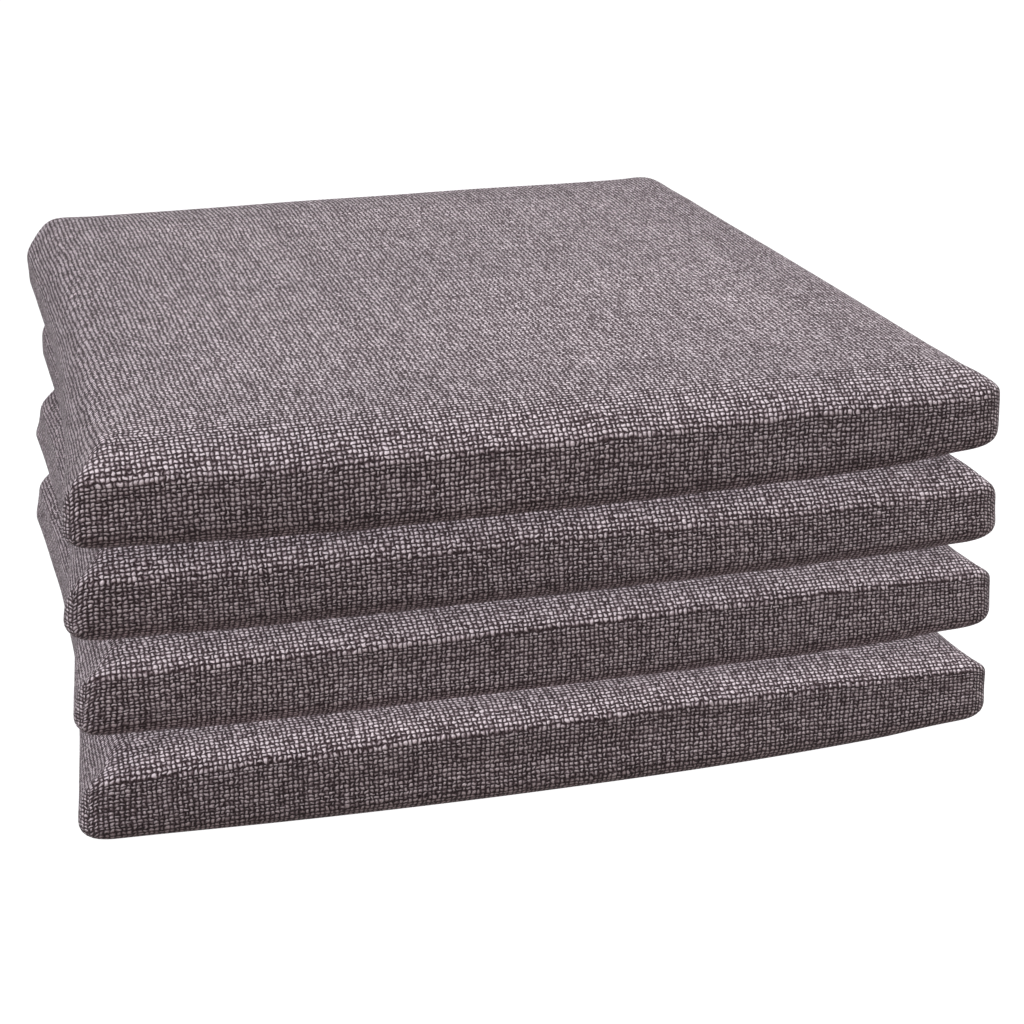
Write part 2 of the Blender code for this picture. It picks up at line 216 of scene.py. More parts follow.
def dense_side(pad, inset, side, back_room=0.0):
    """One side of the outline, drawn in by inset, from the middle of one corner's
    arc to the middle of the next one's, as many points close together."""
    lean = (BACK_HALF - FRONT_HALF) / (2 * pad.half_depth)
    slack = inset * math.hypot(1, lean)
    front = -pad.half_depth + inset
    back = pad.half_depth - inset - back_room
    corners = [
        (-half_width(pad, front) + slack, front),
        (half_width(pad, front) - slack, front),
        (half_width(pad, back) - slack, back),
        (-half_width(pad, back) + slack, back),
    ]
    corners = [np.array(c) for c in corners]

    def arc(i):
        corner = corners[i]
        inward = corner - corners[i - 1]
        inward /= np.linalg.norm(inward)
        outward = corners[(i + 1) % 4] - corner
        outward /= np.linalg.norm(outward)
        turn = math.acos(np.clip(inward @ outward, -1, 1))
        radius = max(CORNER_RADII[i] - inset, LEAST_RADIUS)
        start = corner - inward * radius * math.tan(turn / 2)
        centre = start + np.array([-inward[1], inward[0]]) * radius
        angles = np.linspace(0, turn, ARC_STEPS + 1)
        spoke = start - centre
        c, s = np.cos(angles), np.sin(angles)
        return centre + np.stack(
            [c * spoke[0] - s * spoke[1], s * spoke[0] + c * spoke[1]], -1
        )

    first, second = arc(side), arc((side + 1) % 4)
    a, b = first[-1], second[0]
    along = b - a
    normal = np.array([along[1], -along[0]]) / np.linalg.norm(along)
    t = np.linspace(0, 1, SIDE_STEPS + 1)[1:-1, None]
    bow = SIDE_BOWS[side] * np.sin(np.pi * t)
    middle = a + along * t + normal * bow
    half_arc = ARC_STEPS // 2
    return np.vstack([first[half_arc:], middle, second[: half_arc + 1]])


def resample(points, count):
    steps = np.linalg.norm(np.diff(points, axis=0), axis=1)
    run = np.concatenate([[0], np.cumsum(steps)])
    at = np.linspace(0, run[-1], count + 1)
    return np.stack([np.interp(at, run, points[:, k]) for k in (0, 1)], -1), at


def outline(pad, inset, cells_x, cells_y, back_room=0.0):
    """The loop's points, and each point's distance along its side from the
    middle of that side, both for the side before and the side after it."""
    sides = []
    for side in range(4):
        count = cells_x if side % 2 == 0 else cells_y
        points, at = resample(dense_side(pad, inset, side, back_room), count)
        sides.append((points, at - at[-1] / 2))
    return sides


# ---------- shaping


def arch(pad, x, y):
    """0 over the middle of the pad and its edges' middles, and 1 at its corners."""
    tx = np.clip(np.abs(x) / half_width(pad, y), 0, 1)
    ty = np.clip(np.abs(y) / pad.half_depth, 0, 1)
    return (tx * ty) ** CORNER_POWER


def waves(rng, count, lengths, x, y):
    """A smooth, seeded, uneven surface about zero, with a size of about one."""
    total = np.zeros_like(x)
    for _ in range(count):
        length = rng.uniform(*lengths)
        angle = rng.uniform(0, math.pi)
        phase = rng.uniform(0, 2 * math.pi)
        run = x * math.cos(angle) + y * math.sin(angle)
        total += np.sin(2 * math.pi * run / length + phase)
    return total / math.sqrt(count)


def smooth(low, high, value):
    """0 up to low, 1 from high on, and a smooth step between them."""
    t = np.clip((value - low) / (high - low), 0, 1)
    return t * t * (3 - 2 * t)


def shaped(pad, points, free_top):
    """Moves points of the plain slab to where the stuffed pad has them. The back
    wall stays straight beside the zip, and only a free top is crowned."""
    p = points.copy()
    x, y = p[:, 0], p[:, 1]
    share = np.clip(p[:, 2] / pad.thickness, 0, 1)
    at_back = smooth(-0.016, -0.004, y - pad.half_depth)
    beside_zip = at_back * smooth(-0.172, -0.158, -np.abs(x))
    corner = arch(pad, x, y) * (1 - beside_zip)
    right = smooth(-0.6, 0.6, x / FRONT_HALF)
    left_lift, right_lift = CORNER_LIFTS[pad.number - 1]
    lift = left_lift + (right_lift - left_lift) * right
    droop = CORNER_DROOPS[pad.number - 1]
    p[:, 2] += corner * (lift * (1 - share) - droop * share)
    reach = np.minimum(half_width(pad, y) - np.abs(x), pad.half_depth - np.abs(y))
    edge = np.clip(1 - reach / RIM_WIDTH, 0, 1) ** 2 * (1 - beside_zip)
    p[:, 2] += edge * RIM_LIFTS[pad.number - 1] * (1 - share) ** 2
    front_spread, back_spread = LEFT_SPREADS[pad.number - 1]
    backward = np.clip((y / pad.half_depth + 1) / 2, 0, 1)
    spread = front_spread + (back_spread - front_spread) * backward
    leftward = smooth(0.84, 1.0, -x / half_width(pad, y))
    p[:, 0] -= spread * (SPREAD_HEIGHT - share) * leftward
    rim = np.clip(np.abs(x) / half_width(pad, y), 0, 1) ** RIM_POWER
    rim = np.maximum(rim, np.clip(np.abs(y) / pad.half_depth, 0, 1) ** RIM_POWER)
    if free_top:
        lean = 1 - 0.5 * x / FRONT_HALF
        p[:, 2] += share * (1 - rim) * lean * TOP_PAD_CROWN
    rng = np.random.default_rng(7 * pad.number)
    uneven = waves(rng, 5, (0.09, 0.25), x, y)
    p[:, 2] += share * rim * TOP_UNEVEN * uneven
    wall = rim * np.clip(4 * share * (1 - share), 0, 1)
    uneven = waves(rng, 5, (0.07, 0.20), x, y + 3 * p[:, 2])
    away = np.stack([x / FRONT_HALF, y / pad.half_depth], -1)
    away /= np.maximum(np.linalg.norm(away, axis=1), 1e-9)[:, None]
    back = y > pad.half_depth - 0.004
    p[:, :2] += away * (wall * WALL_UNEVEN * uneven * ~back)[:, None]
    return p


def sideways(pad, xy):
    """How much each point of a loop belongs to the right side, and to the left."""
    across = xy[:, 0] / half_width(pad, xy[:, 1])
    behind = smooth(0.001, 0.015, xy[:, 1] + pad.half_depth)
    return behind * smooth(0.88, 0.975, across), behind * smooth(0.90, 0.98, -across)


def falls(pad, xy):
    """How far the top falls to the wall at each point of a loop."""
    right = RIGHT_FALLS[pad.number - 1]
    backward = xy[:, 1] / pad.half_depth
    fall = FRONT_FALLS[pad.number - 1] + BACK_FALL * smooth(0.80, 0.99, backward)
    forward = np.clip((1 - backward) / 2, 0, 1)
    on_right, on_left = sideways(pad, xy)
    fading = LEFT_FALL_AT_BACK + (1 - LEFT_FALL_AT_BACK) * forward
    return fall + right * on_right + LEFT_FALL * on_left * fading


def heights(pad, rounding, xy, wall_share):
    """The height of loop points. rounding says how far round the lower or upper
    rounding they are, from -1 at the bottom through 0 at the wall to 1 at the top,
    and wall_share how far up the wall."""
    fall = falls(pad, xy)
    turn = math.sin(rounding * math.pi / 2)
    if rounding < 0:
        return np.full(len(xy), LOWER_RISE * (1 + turn))
    if rounding > 0:
        on_right, on_left = sideways(pad, xy)
        power = ROUND_POWER - RIGHT_FULLER * on_right - LEFT_FULLER * on_left
        return pad.thickness - fall * (1 - turn) ** power
    low, high = LOWER_RISE, pad.thickness - fall
    plain = LOWER_RISE + (pad.thickness - UPPER_PLAIN - LOWER_RISE) * wall_share
    spread = low + (high - low) * wall_share
    return np.where(xy[:, 1] > pad.half_depth - 0.001, plain, spread)


# ---------- cover mesh


def cover_section(thickness):
    """The cover's section from the base seam to the edge of its top: inset, how far
    round and share of the wall."""
    rows = [(SEAM_INSET, -1.0, 0.0)]
    for k in range(LOWER_ROWS + 1):
        a = math.pi / 2 * (k / LOWER_ROWS - 1)
        rows.append((LOWER_REACH * (1 - math.cos(a)), k / LOWER_ROWS - 1.0, 0.0))
    wall = thickness - UPPER_PLAIN - LOWER_RISE
    for z in (SLOT_LOW, ZIP_MIDDLE, SLOT_HIGH):
        rows.append((0.0, 0.0, (z - LOWER_RISE) / wall))
    for k in range(UPPER_ROWS + 1):
        a = math.pi / 2 * k / UPPER_ROWS
        rows.append((UPPER_REACH * (1 - math.cos(a)), k / UPPER_ROWS, 1.0))
    return rows


def cloth_runs(loops, levels, normals):
    """How much cloth lies between the top's edge and each point, down the section
    that the point is on."""
    runs = [[None] * 4 for _ in loops]
    for side in range(4):
        run = np.zeros(len(levels[-1][side]))
        runs[-1][side] = run
        for row in range(len(loops) - 2, -1, -1):
            step = loops[row][side][0] - loops[row + 1][side][0]
            rise = levels[row][side] - levels[row + 1][side]
            run = run + np.hypot(step @ normals[side], rise)
            runs[row][side] = run
    return runs


def coons(sides, cells_x, cells_y):
    """Points that fill a four-sided outline: [i, j] counts from the front left."""
    front, right, back, left = [s[0] for s in sides]
    back, left = back[::-1], left[::-1]
    u = np.linspace(0, 1, cells_x + 1)[:, None, None]
    v = np.linspace(0, 1, cells_y + 1)[None, :, None]
    ruled = (1 - v) * front[:, None] + v * back[:, None]
    ruled += (1 - u) * left[None] + u * right[None]
    ruled -= (
        (1 - u) * (1 - v) * front[0]
        + u * (1 - v) * front[-1]
        + (1 - u) * v * back[0]
        + u * v * back[-1]
    )
    return ruled


def ring_of(i, j):
    """The corners of a grid's cell."""
    return [(i, j), (i + 1, j), (i + 1, j + 1), (i, j + 1)]


def rim_of(cells_x, cells_y):
    """The points round a grid's rim, in the order of an outline."""
    rim = [(i, 0) for i in range(cells_x)]
    rim += [(cells_x, j) for j in range(cells_y)]
    rim += [(i, cells_y) for i in range(cells_x, 0, -1)]
    return rim + [(0, j) for j in range(cells_y, 0, -1)]


def side_normals(pad):
    """The outward direction of each of the outline's sides."""
    lean = math.atan2(FRONT_HALF - BACK_HALF, 2 * pad.half_depth)
    c, s = math.cos(lean), math.sin(lean)
    return [np.array(n) for n in ((0, -1), (c, s), (0, 1), (-c, s))]


def cover_mesh(pad):
    """The stuffed cover before it is pressed into shape, closed underneath. Gives
    points, quads, each quad corner's place on the flat cloth, and labels."""
    rows = cover_section(pad.thickness)
    normals = side_normals(pad)
    points, index, cloth = [], {}, {}

    def add(key, xyz):
        if key not in index:
            index[key] = len(points)
            points.append(xyz)
        return index[key]

    def loop_key(row, side, k):
        count = CELLS_X if side % 2 == 0 else CELLS_Y
        if k == count:
            side, k = (side + 1) % 4, 0
        return ("loop", row, side, k)

    quads, corners, tags = [], [], []
    loops, levels = [], []
    for inset, rounding, share in rows:
        give = BACK_TIGHTER * inset if rounding > 0 else 0.0
        loop = outline(pad, inset, CELLS_X, CELLS_Y, -give)
        loops.append(loop)
        levels.append([heights(pad, rounding, side[0], share) for side in loop])
    flat = loops[-1]
    runs = cloth_runs(loops, levels, normals)
    for row in range(len(rows)):
        for side in range(4):
            shown, at = loops[row][side]
            level = levels[row][side]
            rim, rim_at = flat[side]
            tangent = np.array([-normals[side][1], normals[side][0]])
            for k in range(len(shown)):
                add(loop_key(row, side, k), (*shown[k], level[k]))
                place = rim[k] + normals[side] * runs[row][side][k]
                place = place + tangent * (at[k] - rim_at[k])
                cloth[(row, side, k)] = place
    for row in range(len(rows) - 1):
        for side in range(4):
            for k in range(len(flat[side][0]) - 1):
                keys = [(row, side, k), (row, side, k + 1)]
                keys += [(row + 1, side, k + 1), (row + 1, side, k)]
                quads.append([index[loop_key(*key)] for key in keys])
                corners.append([cloth[key] for key in keys])
                tags.append((row, side, k))

    top = coons(flat, CELLS_X, CELLS_Y)
    last = len(rows) - 1

    counts = (CELLS_X, CELLS_Y, CELLS_X, CELLS_Y)
    steps = [(side, k) for side in range(4) for k in range(counts[side])]
    on_rim = dict(zip(rim_of(CELLS_X, CELLS_Y), steps))

    def patch_key(which, row, i, j):
        if (i, j) in on_rim:
            return ("loop", row, *on_rim[i, j])
        return (which, i, j)

    for which, row, grid, z in (
        ("top", last, top, pad.thickness),
        ("under", 0, coons(loops[0], CELLS_X, CELLS_Y), 0.0),
    ):
        for i in range(CELLS_X + 1):
            for j in range(CELLS_Y + 1):
                add(patch_key(which, row, i, j), (*grid[i, j], z))
        for i in range(CELLS_X):
            for j in range(CELLS_Y):
                ij = ring_of(i, j) if which == "top" else ring_of(i, j)[::-1]
                quads.append([index[patch_key(which, row, *q)] for q in ij])
                corners.append([grid[q] for q in ij])
                tags.append((which, i, j))
    return np.array(points), quads, corners, tags


def build_object(name, points, faces, cloth=None):
    mesh = bpy.data.meshes.new(name)
    mesh.from_pydata([tuple(p) for p in points], [], faces)
    if cloth is not None:
        layer = mesh.uv_layers.new(name="cloth")
        flat = np.array(cloth, np.float32).reshape(-1)
        layer.uv.foreach_set("vector", flat)
    mesh.shade_smooth()
    obj = bpy.data.objects.new(name, mesh)
    bpy.context.scene.collection.objects.link(obj)
    return obj


def pressed(pad, points, quads, held):
    """Blows the cover up a little with the cloth solver, as its foam does, and
    gives the moved points. held lists the points that stay where they are."""
    obj = build_object("press", points, quads)
    group = obj.vertex_groups.new(name="held")
    group.add(held, 1.0, "REPLACE")
    cloth = obj.modifiers.new("cloth", "CLOTH")
    for key, value in CLOTH_SETTINGS.items():
        setattr(cloth.settings, key, value)
    cloth.settings.vertex_group_mass = "held"
    cloth.settings.effector_weights.gravity = 0.0
    cloth.collision_settings.use_collision = False
    scene = bpy.context.scene
    for number in range(1, CLOTH_FRAMES + 1):
        scene.frame_set(number)
    shown = obj.evaluated_get(bpy.context.evaluated_depsgraph_get())
    moved = np.empty(len(points) * 3, np.float32)
    shown.data.vertices.foreach_get("co", moved)
    moved = moved.reshape(-1, 3).astype(float)
    bpy.data.objects.remove(obj, do_unlink=True)
    scene.frame_set(1)
    return moved


def cap(moved, start, most):
    """Shortens each point's move, so that none is longer than most."""
    step = moved - start
    size = np.linalg.norm(step, axis=1)
    shorter = most * np.tanh(size / most) / np.maximum(size, 1e-9)
    return start + step * shorter[:, None]


def near_zip(points, pad, margin):
    """Which points are at the slot for the zip, or this close to it."""
    x, y, z = points.T
    inside = y > pad.half_depth - 0.006
    inside &= np.abs(x) < SLOT_HALF + margin
    inside &= (z > SLOT_LOW - margin) & (z < SLOT_HIGH + margin)
    return inside


def make_cover(pad):
    """The woven cover: open underneath for the panel, and slotted for the zip. The
    slot's ends fall on the nearest columns of the back wall."""
    points, quads, cloth, tags = cover_mesh(pad)
    free_top = pad.number == PADS[-1]
    start = shaped(pad, points, free_top)
    under = points[:, 2] < 0.0005
    held = np.flatnonzero(under | near_zip(points, pad, 0.004)).tolist()
    moved = pressed(pad, start, quads, held)
    final = cap(moved, start, MOST_SWELL)
    if not free_top:
        flat = points[:, 2] > pad.thickness - 0.0002
        limit = np.minimum(final[:, 2], np.maximum(start[:, 2], pad.thickness))
        final[flat, 2] = limit[flat]
    final[:, 2] = np.maximum(final[:, 2], 0.0)

    keep, keep_cloth = [], []
    for quad, place, tag in zip(quads, cloth, tags):
        if tag[0] == "under":
            continue
        on_back = tag[1] == 2
        if tag[0] in SLOT_ROWS and on_back:
            if abs(points[quad, 0].mean()) < SLOT_HALF:
                continue
        keep.append(quad)
        keep_cloth.append(place)
    used = np.unique(np.array(keep))
    renumber = {int(old): new for new, old in enumerate(used)}
    faces = [[renumber[v] for v in quad] for quad in keep]
    obj = build_object(f"{pad.name}_woven_cover", final[used], faces, keep_cloth)
    finer = obj.modifiers.new("finer", "SUBSURF")
    finer.levels = finer.render_levels = 1
    finer.uv_smooth = "NONE"
    finer.boundary_smooth = "PRESERVE_CORNERS"
    wall = obj.modifiers.new("wall", "SOLIDIFY")
    wall.thickness = COVER_THICKNESS
    wall.offset = -1
    return obj


# ---------- other parts


def base_object(pad):
    """The non-slip panel: it follows the cover's lifted corners."""
    cells_x, cells_y = 40, 37
    sides = outline(pad, SEAM_INSET + BASE_GAP, cells_x, cells_y)
    grid = coons(sides, cells_x, cells_y).reshape(-1, 2)
    low = np.column_stack([grid, np.zeros(len(grid))])
    low = shaped(pad, low, False)
    high = low.copy()
    high[:, 2] += BASE_THICKNESS
    n = cells_y + 1
    count = len(low)

    def at(i, j, up):
        return i * n + j + (count if up else 0)

    faces = []
    for i in range(cells_x):
        for j in range(cells_y):
            faces.append([at(a, b, False) for a, b in ring_of(i, j)[::-1]])
            faces.append([at(a, b, True) for a, b in ring_of(i, j)])
    rim = rim_of(cells_x, cells_y)
    for (a, b), (c, d) in zip(rim, rim[1:] + rim[:1]):
        faces.append([at(a, b, False), at(c, d, False), at(c, d, True), at(a, b, True)])
    return build_object(f"{pad.name}_non_slip_base", np.vstack([low, high]), faces)


def inner_object(pad, name, offset, mouth):
    """A layer inside the cover, this far in from its outside. With a mouth, it is
    a thin skin that is open at the back."""
    cells_x, cells_y = 32, 30
    rows = []
    for k in range(4):
        a = math.radians(-90 + 30 * k)
        reach = LOWER_REACH - offset
        rows.append((offset + reach * (1 - math.cos(a)), k / 3 - 1.0, 0.0))
    for k in range(5):
        a = math.radians(22.5 * k)
        reach = UPPER_REACH - offset
        rows.append((offset + reach * (1 - math.cos(a)), k / 4, 1.0))
    points, faces = [], []
    loop_size = 2 * (cells_x + cells_y)
    loops = []
    for inset, rounding, _ in rows:
        give = BACK_TIGHTER * (inset - offset) if rounding > 0 else 0.0
        loops.append(outline(pad, inset, cells_x, cells_y, ZIP_ROOM - give))
    low, high = offset, pad.thickness - offset
    squeeze = (high - low) / pad.thickness
    for sides, (_, rounding, share) in zip(loops, rows):
        for shown, _ in sides:
            level = low + squeeze * heights(pad, rounding, shown, share)
            points += [(*p, z) for p, z in zip(shown[:-1], level)]
    for row in range(len(rows) - 1):
        for k in range(loop_size):
            nxt = (k + 1) % loop_size
            on_back = cells_x + cells_y + 2 < k < 2 * cells_x + cells_y - 3
            if mouth and on_back and row == 3:
                continue
            a, b = row * loop_size, (row + 1) * loop_size
            faces.append([a + k, a + nxt, b + nxt, b + k])

    rim = rim_of(cells_x, cells_y)
    for row, z, upward in ((0, low, False), (len(rows) - 1, high, True)):
        grid = coons(loops[row], cells_x, cells_y)
        made = {ij: row * loop_size + k for k, ij in enumerate(rim)}
        for i in range(cells_x + 1):
            for j in range(cells_y + 1):
                if (i, j) not in made:
                    made[i, j] = len(points)
                    points.append((*grid[i, j], z))
        for i in range(cells_x):
            for j in range(cells_y):
                ring = [made[ij] for ij in ring_of(i, j)]
                faces.append(ring if upward else ring[::-1])
    placed = shaped(pad, np.array(points), False)
    obj = build_object(f"{pad.name}_{name}", placed, faces)
    if mouth:
        wall = obj.modifiers.new("wall", "SOLIDIFY")
        wall.thickness = LINER_THICKNESS
        wall.offset = -1
    return obj


def copy_of(node, name, bevel):
    """A new piece with a frame node's shape, its edges broken."""
    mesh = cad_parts[node].data.copy()
    mesh.materials.clear()
    bm = bmesh.new()
    bm.from_mesh(mesh)
    bmesh.ops.remove_doubles(bm, verts=bm.verts, dist=0.000005)
    bmesh.ops.dissolve_limit(
        bm, angle_limit=math.radians(1), verts=bm.verts, edges=bm.edges
    )
    bm.to_mesh(mesh)
    bm.free()
    obj = bpy.data.objects.new(name, mesh)
    bpy.context.scene.collection.objects.link(obj)
    edge = obj.modifiers.new("edges", "BEVEL")
    edge.width = bevel
    edge.segments = 2
    edge.limit_method = "ANGLE"
    edge.harden_normals = True
    mesh.shade_smooth()
    return obj


def tube(path, radius):
    """Points and faces of a round tube, closed at its ends, through a path of 3-D
    points."""
    sides = 6
    path = np.asarray(path, float)
    ahead = np.gradient(path, axis=0)
    ahead /= np.linalg.norm(ahead, axis=1)[:, None]
    up = np.array([0.0, 0.0, 1.0])
    side = np.cross(ahead, up)
    weak = np.linalg.norm(side, axis=1) < 0.2
    side[weak] = np.cross(ahead[weak], [0.0, 1.0, 0.0])
    side /= np.linalg.norm(side, axis=1)[:, None]
    normal = np.cross(side, ahead)
    angles = np.linspace(0, 2 * math.pi, sides, endpoint=False)
    ring = np.cos(angles)[None, :, None] * side[:, None]
    ring = ring + np.sin(angles)[None, :, None] * normal[:, None]
    points = (path[:, None] + radius * ring).reshape(-1, 3)
    faces = []
    for k in range(len(path) - 1):
        for s in range(sides):
            t = (s + 1) % sides
            a, b = k * sides, (k + 1) * sides
            faces.append([a + s, a + t, b + t, b + s])
    faces.append(list(range(sides))[::-1])
    faces.append([(len(path) - 1) * sides + s for s in range(sides)])
    return points, faces


def merged(parts):
    """Several lots of points and faces as one."""
    points, faces, base = [], [], 0
    for p, f in parts:
        points.append(p)
        faces += [[v + base for v in face] for face in f]
        base += len(p)
    return np.vstack(points), faces


def coil_object(pad, side):
    """One half of the zip's coil, as a flattened spring whose loops mesh with the
    other half's."""
    count = int(2 * COIL_HALF / COIL_PITCH)
    y_inner, y_outer = pad.half_depth - 0.0010, pad.half_depth + 0.0004
    near, far = -0.0007, 0.0028
    path = []
    for n in range(count):
        start = -COIL_HALF + COIL_PITCH * (n + (0.5 if side > 0 else 0.0)) + 0.0004
        for k in range(COIL_STEPS):
            a = 2 * math.pi * k / COIL_STEPS
            across = (near + far) / 2 - (far - near) / 2 * math.cos(a)
            out = (y_inner + y_outer) / 2 - (y_outer - y_inner) / 2 * math.sin(a)
            along = start + COIL_PITCH * k / COIL_STEPS
            path.append((along, out, ZIP_MIDDLE + side * across))
    points, faces = tube(path, COIL_WIRE)
    word = "upper" if side > 0 else "lower"
    return build_object(f"{pad.name}_coil_{word}", points, faces)


def sheet_object(name, cells_a, cells_b, place):
    """A thin sheet of two layers, closed round its rim. place gives the point of
    (layer, i, j), with layer 0 or 1."""
    rows = cells_b + 1
    size = (cells_a + 1) * rows
    points = [
        place(layer, i, j)
        for layer in (0, 1)
        for i in range(cells_a + 1)
        for j in range(cells_b + 1)
    ]
    faces = []

    def at(i, j, layer):
        return layer * size + i * rows + j

    for i in range(cells_a):
        for j in range(cells_b):
            faces.append([at(a, b, 0) for a, b in ring_of(i, j)])
            faces.append([at(a, b, 1) for a, b in ring_of(i, j)[::-1]])
        for j in (0, cells_b):
            rim = [(i, j, 0), (i, j, 1), (i + 1, j, 1), (i + 1, j, 0)]
            faces.append([at(*corner) for corner in rim])
    for i in (0, cells_a):
        for j in range(cells_b):
            rim = [(i, j, 0), (i, j + 1, 0), (i, j + 1, 1), (i, j, 1)]
            faces.append([at(*corner) for corner in rim])
    obj = build_object(name, points, faces)
    fix_normals(obj)
    return obj


def tape_object(pad, side):
    """One zip tape, with a slight wave, its edge reaching in under the cover."""
    y_out = pad.half_depth - 0.0016
    z_near, z_far = 0.0008, SLOT_HIGH - ZIP_MIDDLE + 0.0020
    cells_x, cells_z = 150, 6
    xs = np.linspace(-TAPE_HALF, TAPE_HALF, cells_x + 1)
    zs = np.linspace(z_near, z_far, cells_z + 1)

    def place(layer, i, j):
        x, z = xs[i], zs[j]
        wave = 0.00005 * math.sin(x * 310 + side) * (z / z_far)
        y = y_out - wave - layer * TAPE_THICKNESS
        return x, y, ZIP_MIDDLE + side * z

    word = "upper" if side > 0 else "lower"
    return sheet_object(f"{pad.name}_tape_{word}", cells_x, cells_z, place)


def fix_normals(obj):
    """Turns all faces outwards."""
    bm = bmesh.new()
    bm.from_mesh(obj.data)
    bmesh.ops.recalc_face_normals(bm, faces=bm.faces)
    bm.to_mesh(obj.data)
    bm.free()


def stitch(start, end):
    """One stitch in the back wall, arching from start to end, proud of the cloth."""
    t = np.linspace(0, 1, 7)[:, None]
    height = STITCH_RISE * (1 - (2 * t - 1) ** 4) - STITCH_THREAD * 0.9
    outward = np.array([0, 1, 0])
    path = np.array(start) * (1 - t) + np.array(end) * t + outward * height
    return tube(path, STITCH_THREAD)


def stitching_object(pad):
    """The rows of stitches that hold the zip's tapes to the cover."""
    y = pad.half_depth
    parts = []
    count = int((2 * SLOT_HALF + 0.004) / STITCH_PITCH)
    for z in (SLOT_LOW - 0.0026, SLOT_HIGH + 0.0026):
        for n in range(count):
            x = -count * STITCH_PITCH / 2 + n * STITCH_PITCH
            parts.append(stitch((x, y, z), (x + STITCH_LENGTH, y, z)))
    for x in (-SLOT_HALF - 0.0028, SLOT_HALF + 0.0028):
        for n in range(4):
            z = SLOT_LOW - 0.0016 + n * STITCH_PITCH
            parts.append(stitch((x, y, z), (x, y, z + STITCH_LENGTH)))
    points, faces = merged(parts)
    return build_object(f"{pad.name}_zip_stitching", points, faces)


def label_object(pad):
    """The blank care label: a ribbon that leaves the zip's seam and hangs down."""
    low, high = 0.0036, SLOT_LOW - 0.0002
    x0 = -COIL_HALF + 0.034
    cells_x, cells_z = 12, 10

    def place(layer, i, j):
        t = j / cells_z
        z = high + (low - high) * t
        curl = 0.0012 * t * t + 0.0002 * math.sin(5 * t + 3 * i / cells_x)
        y = pad.half_depth + 0.0003 + curl + layer * LABEL_THICKNESS
        return x0 + LABEL_WIDTH * i / cells_x, y, z

    return sheet_object(f"{pad.name}_blank_label", cells_x, cells_z, place)


# ---------- materials


class Graph:
    """Short ways to write a material's nodes."""

    def __init__(self, name):
        self.material = bpy.data.materials.new(name)
        self.material.use_nodes = True
        self.tree = self.material.node_tree
        self.shader = self.tree.nodes["Principled BSDF"]

    def node(self, kind, **settings):
        made = self.tree.nodes.new(kind)
        for key, value in settings.items():
            setattr(made, key, value)
        return made

    def put(self, socket, value):
        if isinstance(value, bpy.types.NodeSocket):
            self.tree.links.new(value, socket)
        else:
            socket.default_value = value

    def math(self, op, a, b=0.0, c=0.0):
        made = self.node("ShaderNodeMath", operation=op)
        for socket, value in zip(made.inputs, (a, b, c)):
            self.put(socket, value)
        return made.outputs[0]

    def plus(self, a, b):
        return self.math("ADD", a, b)

    def minus(self, a, b):
        return self.math("SUBTRACT", a, b)

    def times(self, a, b, more=None):
        """a times b, and more added to it, if given."""
        if more is None:
            return self.math("MULTIPLY", a, b)
        return self.math("MULTIPLY_ADD", a, b, more)

    def mix(self, share, a, b):
        """Between two numbers."""
        return self.plus(a, self.times(share, self.minus(b, a)))

    def add_share(self, value, weight, base):
        """base, moved by how far value is from a half, times weight."""
        return self.times(self.minus(value, 0.5), weight, base)

    def wave(self, value, length):
        """The sine of a place, one turn in each length."""
        return self.math("SINE", self.times(value, 2 * math.pi / length))

    def split(self, vector):
        made = self.node("ShaderNodeSeparateXYZ")
        self.put(made.inputs[0], vector)
        return made.outputs

    def mix_colour(self, share, a, b, blend="MIX"):
        made = self.node("ShaderNodeMix", data_type="RGBA", blend_type=blend)
        self.put(made.inputs[0], share)
        self.put(made.inputs[6], a)
        self.put(made.inputs[7], b)
        return made.outputs[2]

    def noise(self, vector, scale, detail=2.0):
        made = self.node("ShaderNodeTexNoise", noise_dimensions="3D")
        self.put(made.inputs["Vector"], vector)
        made.inputs["Scale"].default_value = scale
        made.inputs["Detail"].default_value = detail
        return made.outputs[0]

    def random(self, x, y=0.0, z=0.0):
        made = self.node("ShaderNodeTexWhiteNoise", noise_dimensions="3D")
        self.put(made.inputs["Vector"], self.vector(x, y, z))
        return made.outputs["Value"]

    def cells(self, vector, scale, randomness=1.0):
        """How far each point is from the middle of its cell."""
        made = self.node("ShaderNodeTexVoronoi")
        self.put(made.inputs["Vector"], vector)
        made.inputs["Scale"].default_value = scale
        made.inputs["Randomness"].default_value = randomness
        return made.outputs["Distance"]

    def vector(self, x, y, z=0.0):
        joined = self.node("ShaderNodeCombineXYZ")
        for socket, value in zip(joined.inputs, (x, y, z)):
            self.put(socket, value)
        return joined.outputs[0]

    def ramp(self, value, stops):
        made = self.node("ShaderNodeValToRGB")
        self.put(made.inputs[0], value)
        ramp = made.color_ramp
        while len(ramp.elements) < len(stops):
            ramp.elements.new(0.5)
        for element, (place, colour) in zip(ramp.elements, stops):
            element.position = place
            element.color = (*colour, 1.0)
        return made.outputs[0]

    def bump(self, height, strength, distance):
        made = self.node("ShaderNodeBump")
        made.inputs["Strength"].default_value = strength
        made.inputs["Distance"].default_value = distance
        self.put(made.inputs["Height"], height)
        self.put(self.shader.inputs["Normal"], made.outputs[0])

    def finish(self, colour, roughness, **sockets):
        self.put(self.shader.inputs["Base Color"], colour)
        self.put(self.shader.inputs["Roughness"], roughness)
        for name, value in sockets.items():
            self.shader.inputs[name.replace("_", " ")].default_value = value
        return self.material


# The spacing of the panel's rubber dots and of its threads
DOT_PITCH = 0.006
THREAD_PITCH = 0.0009
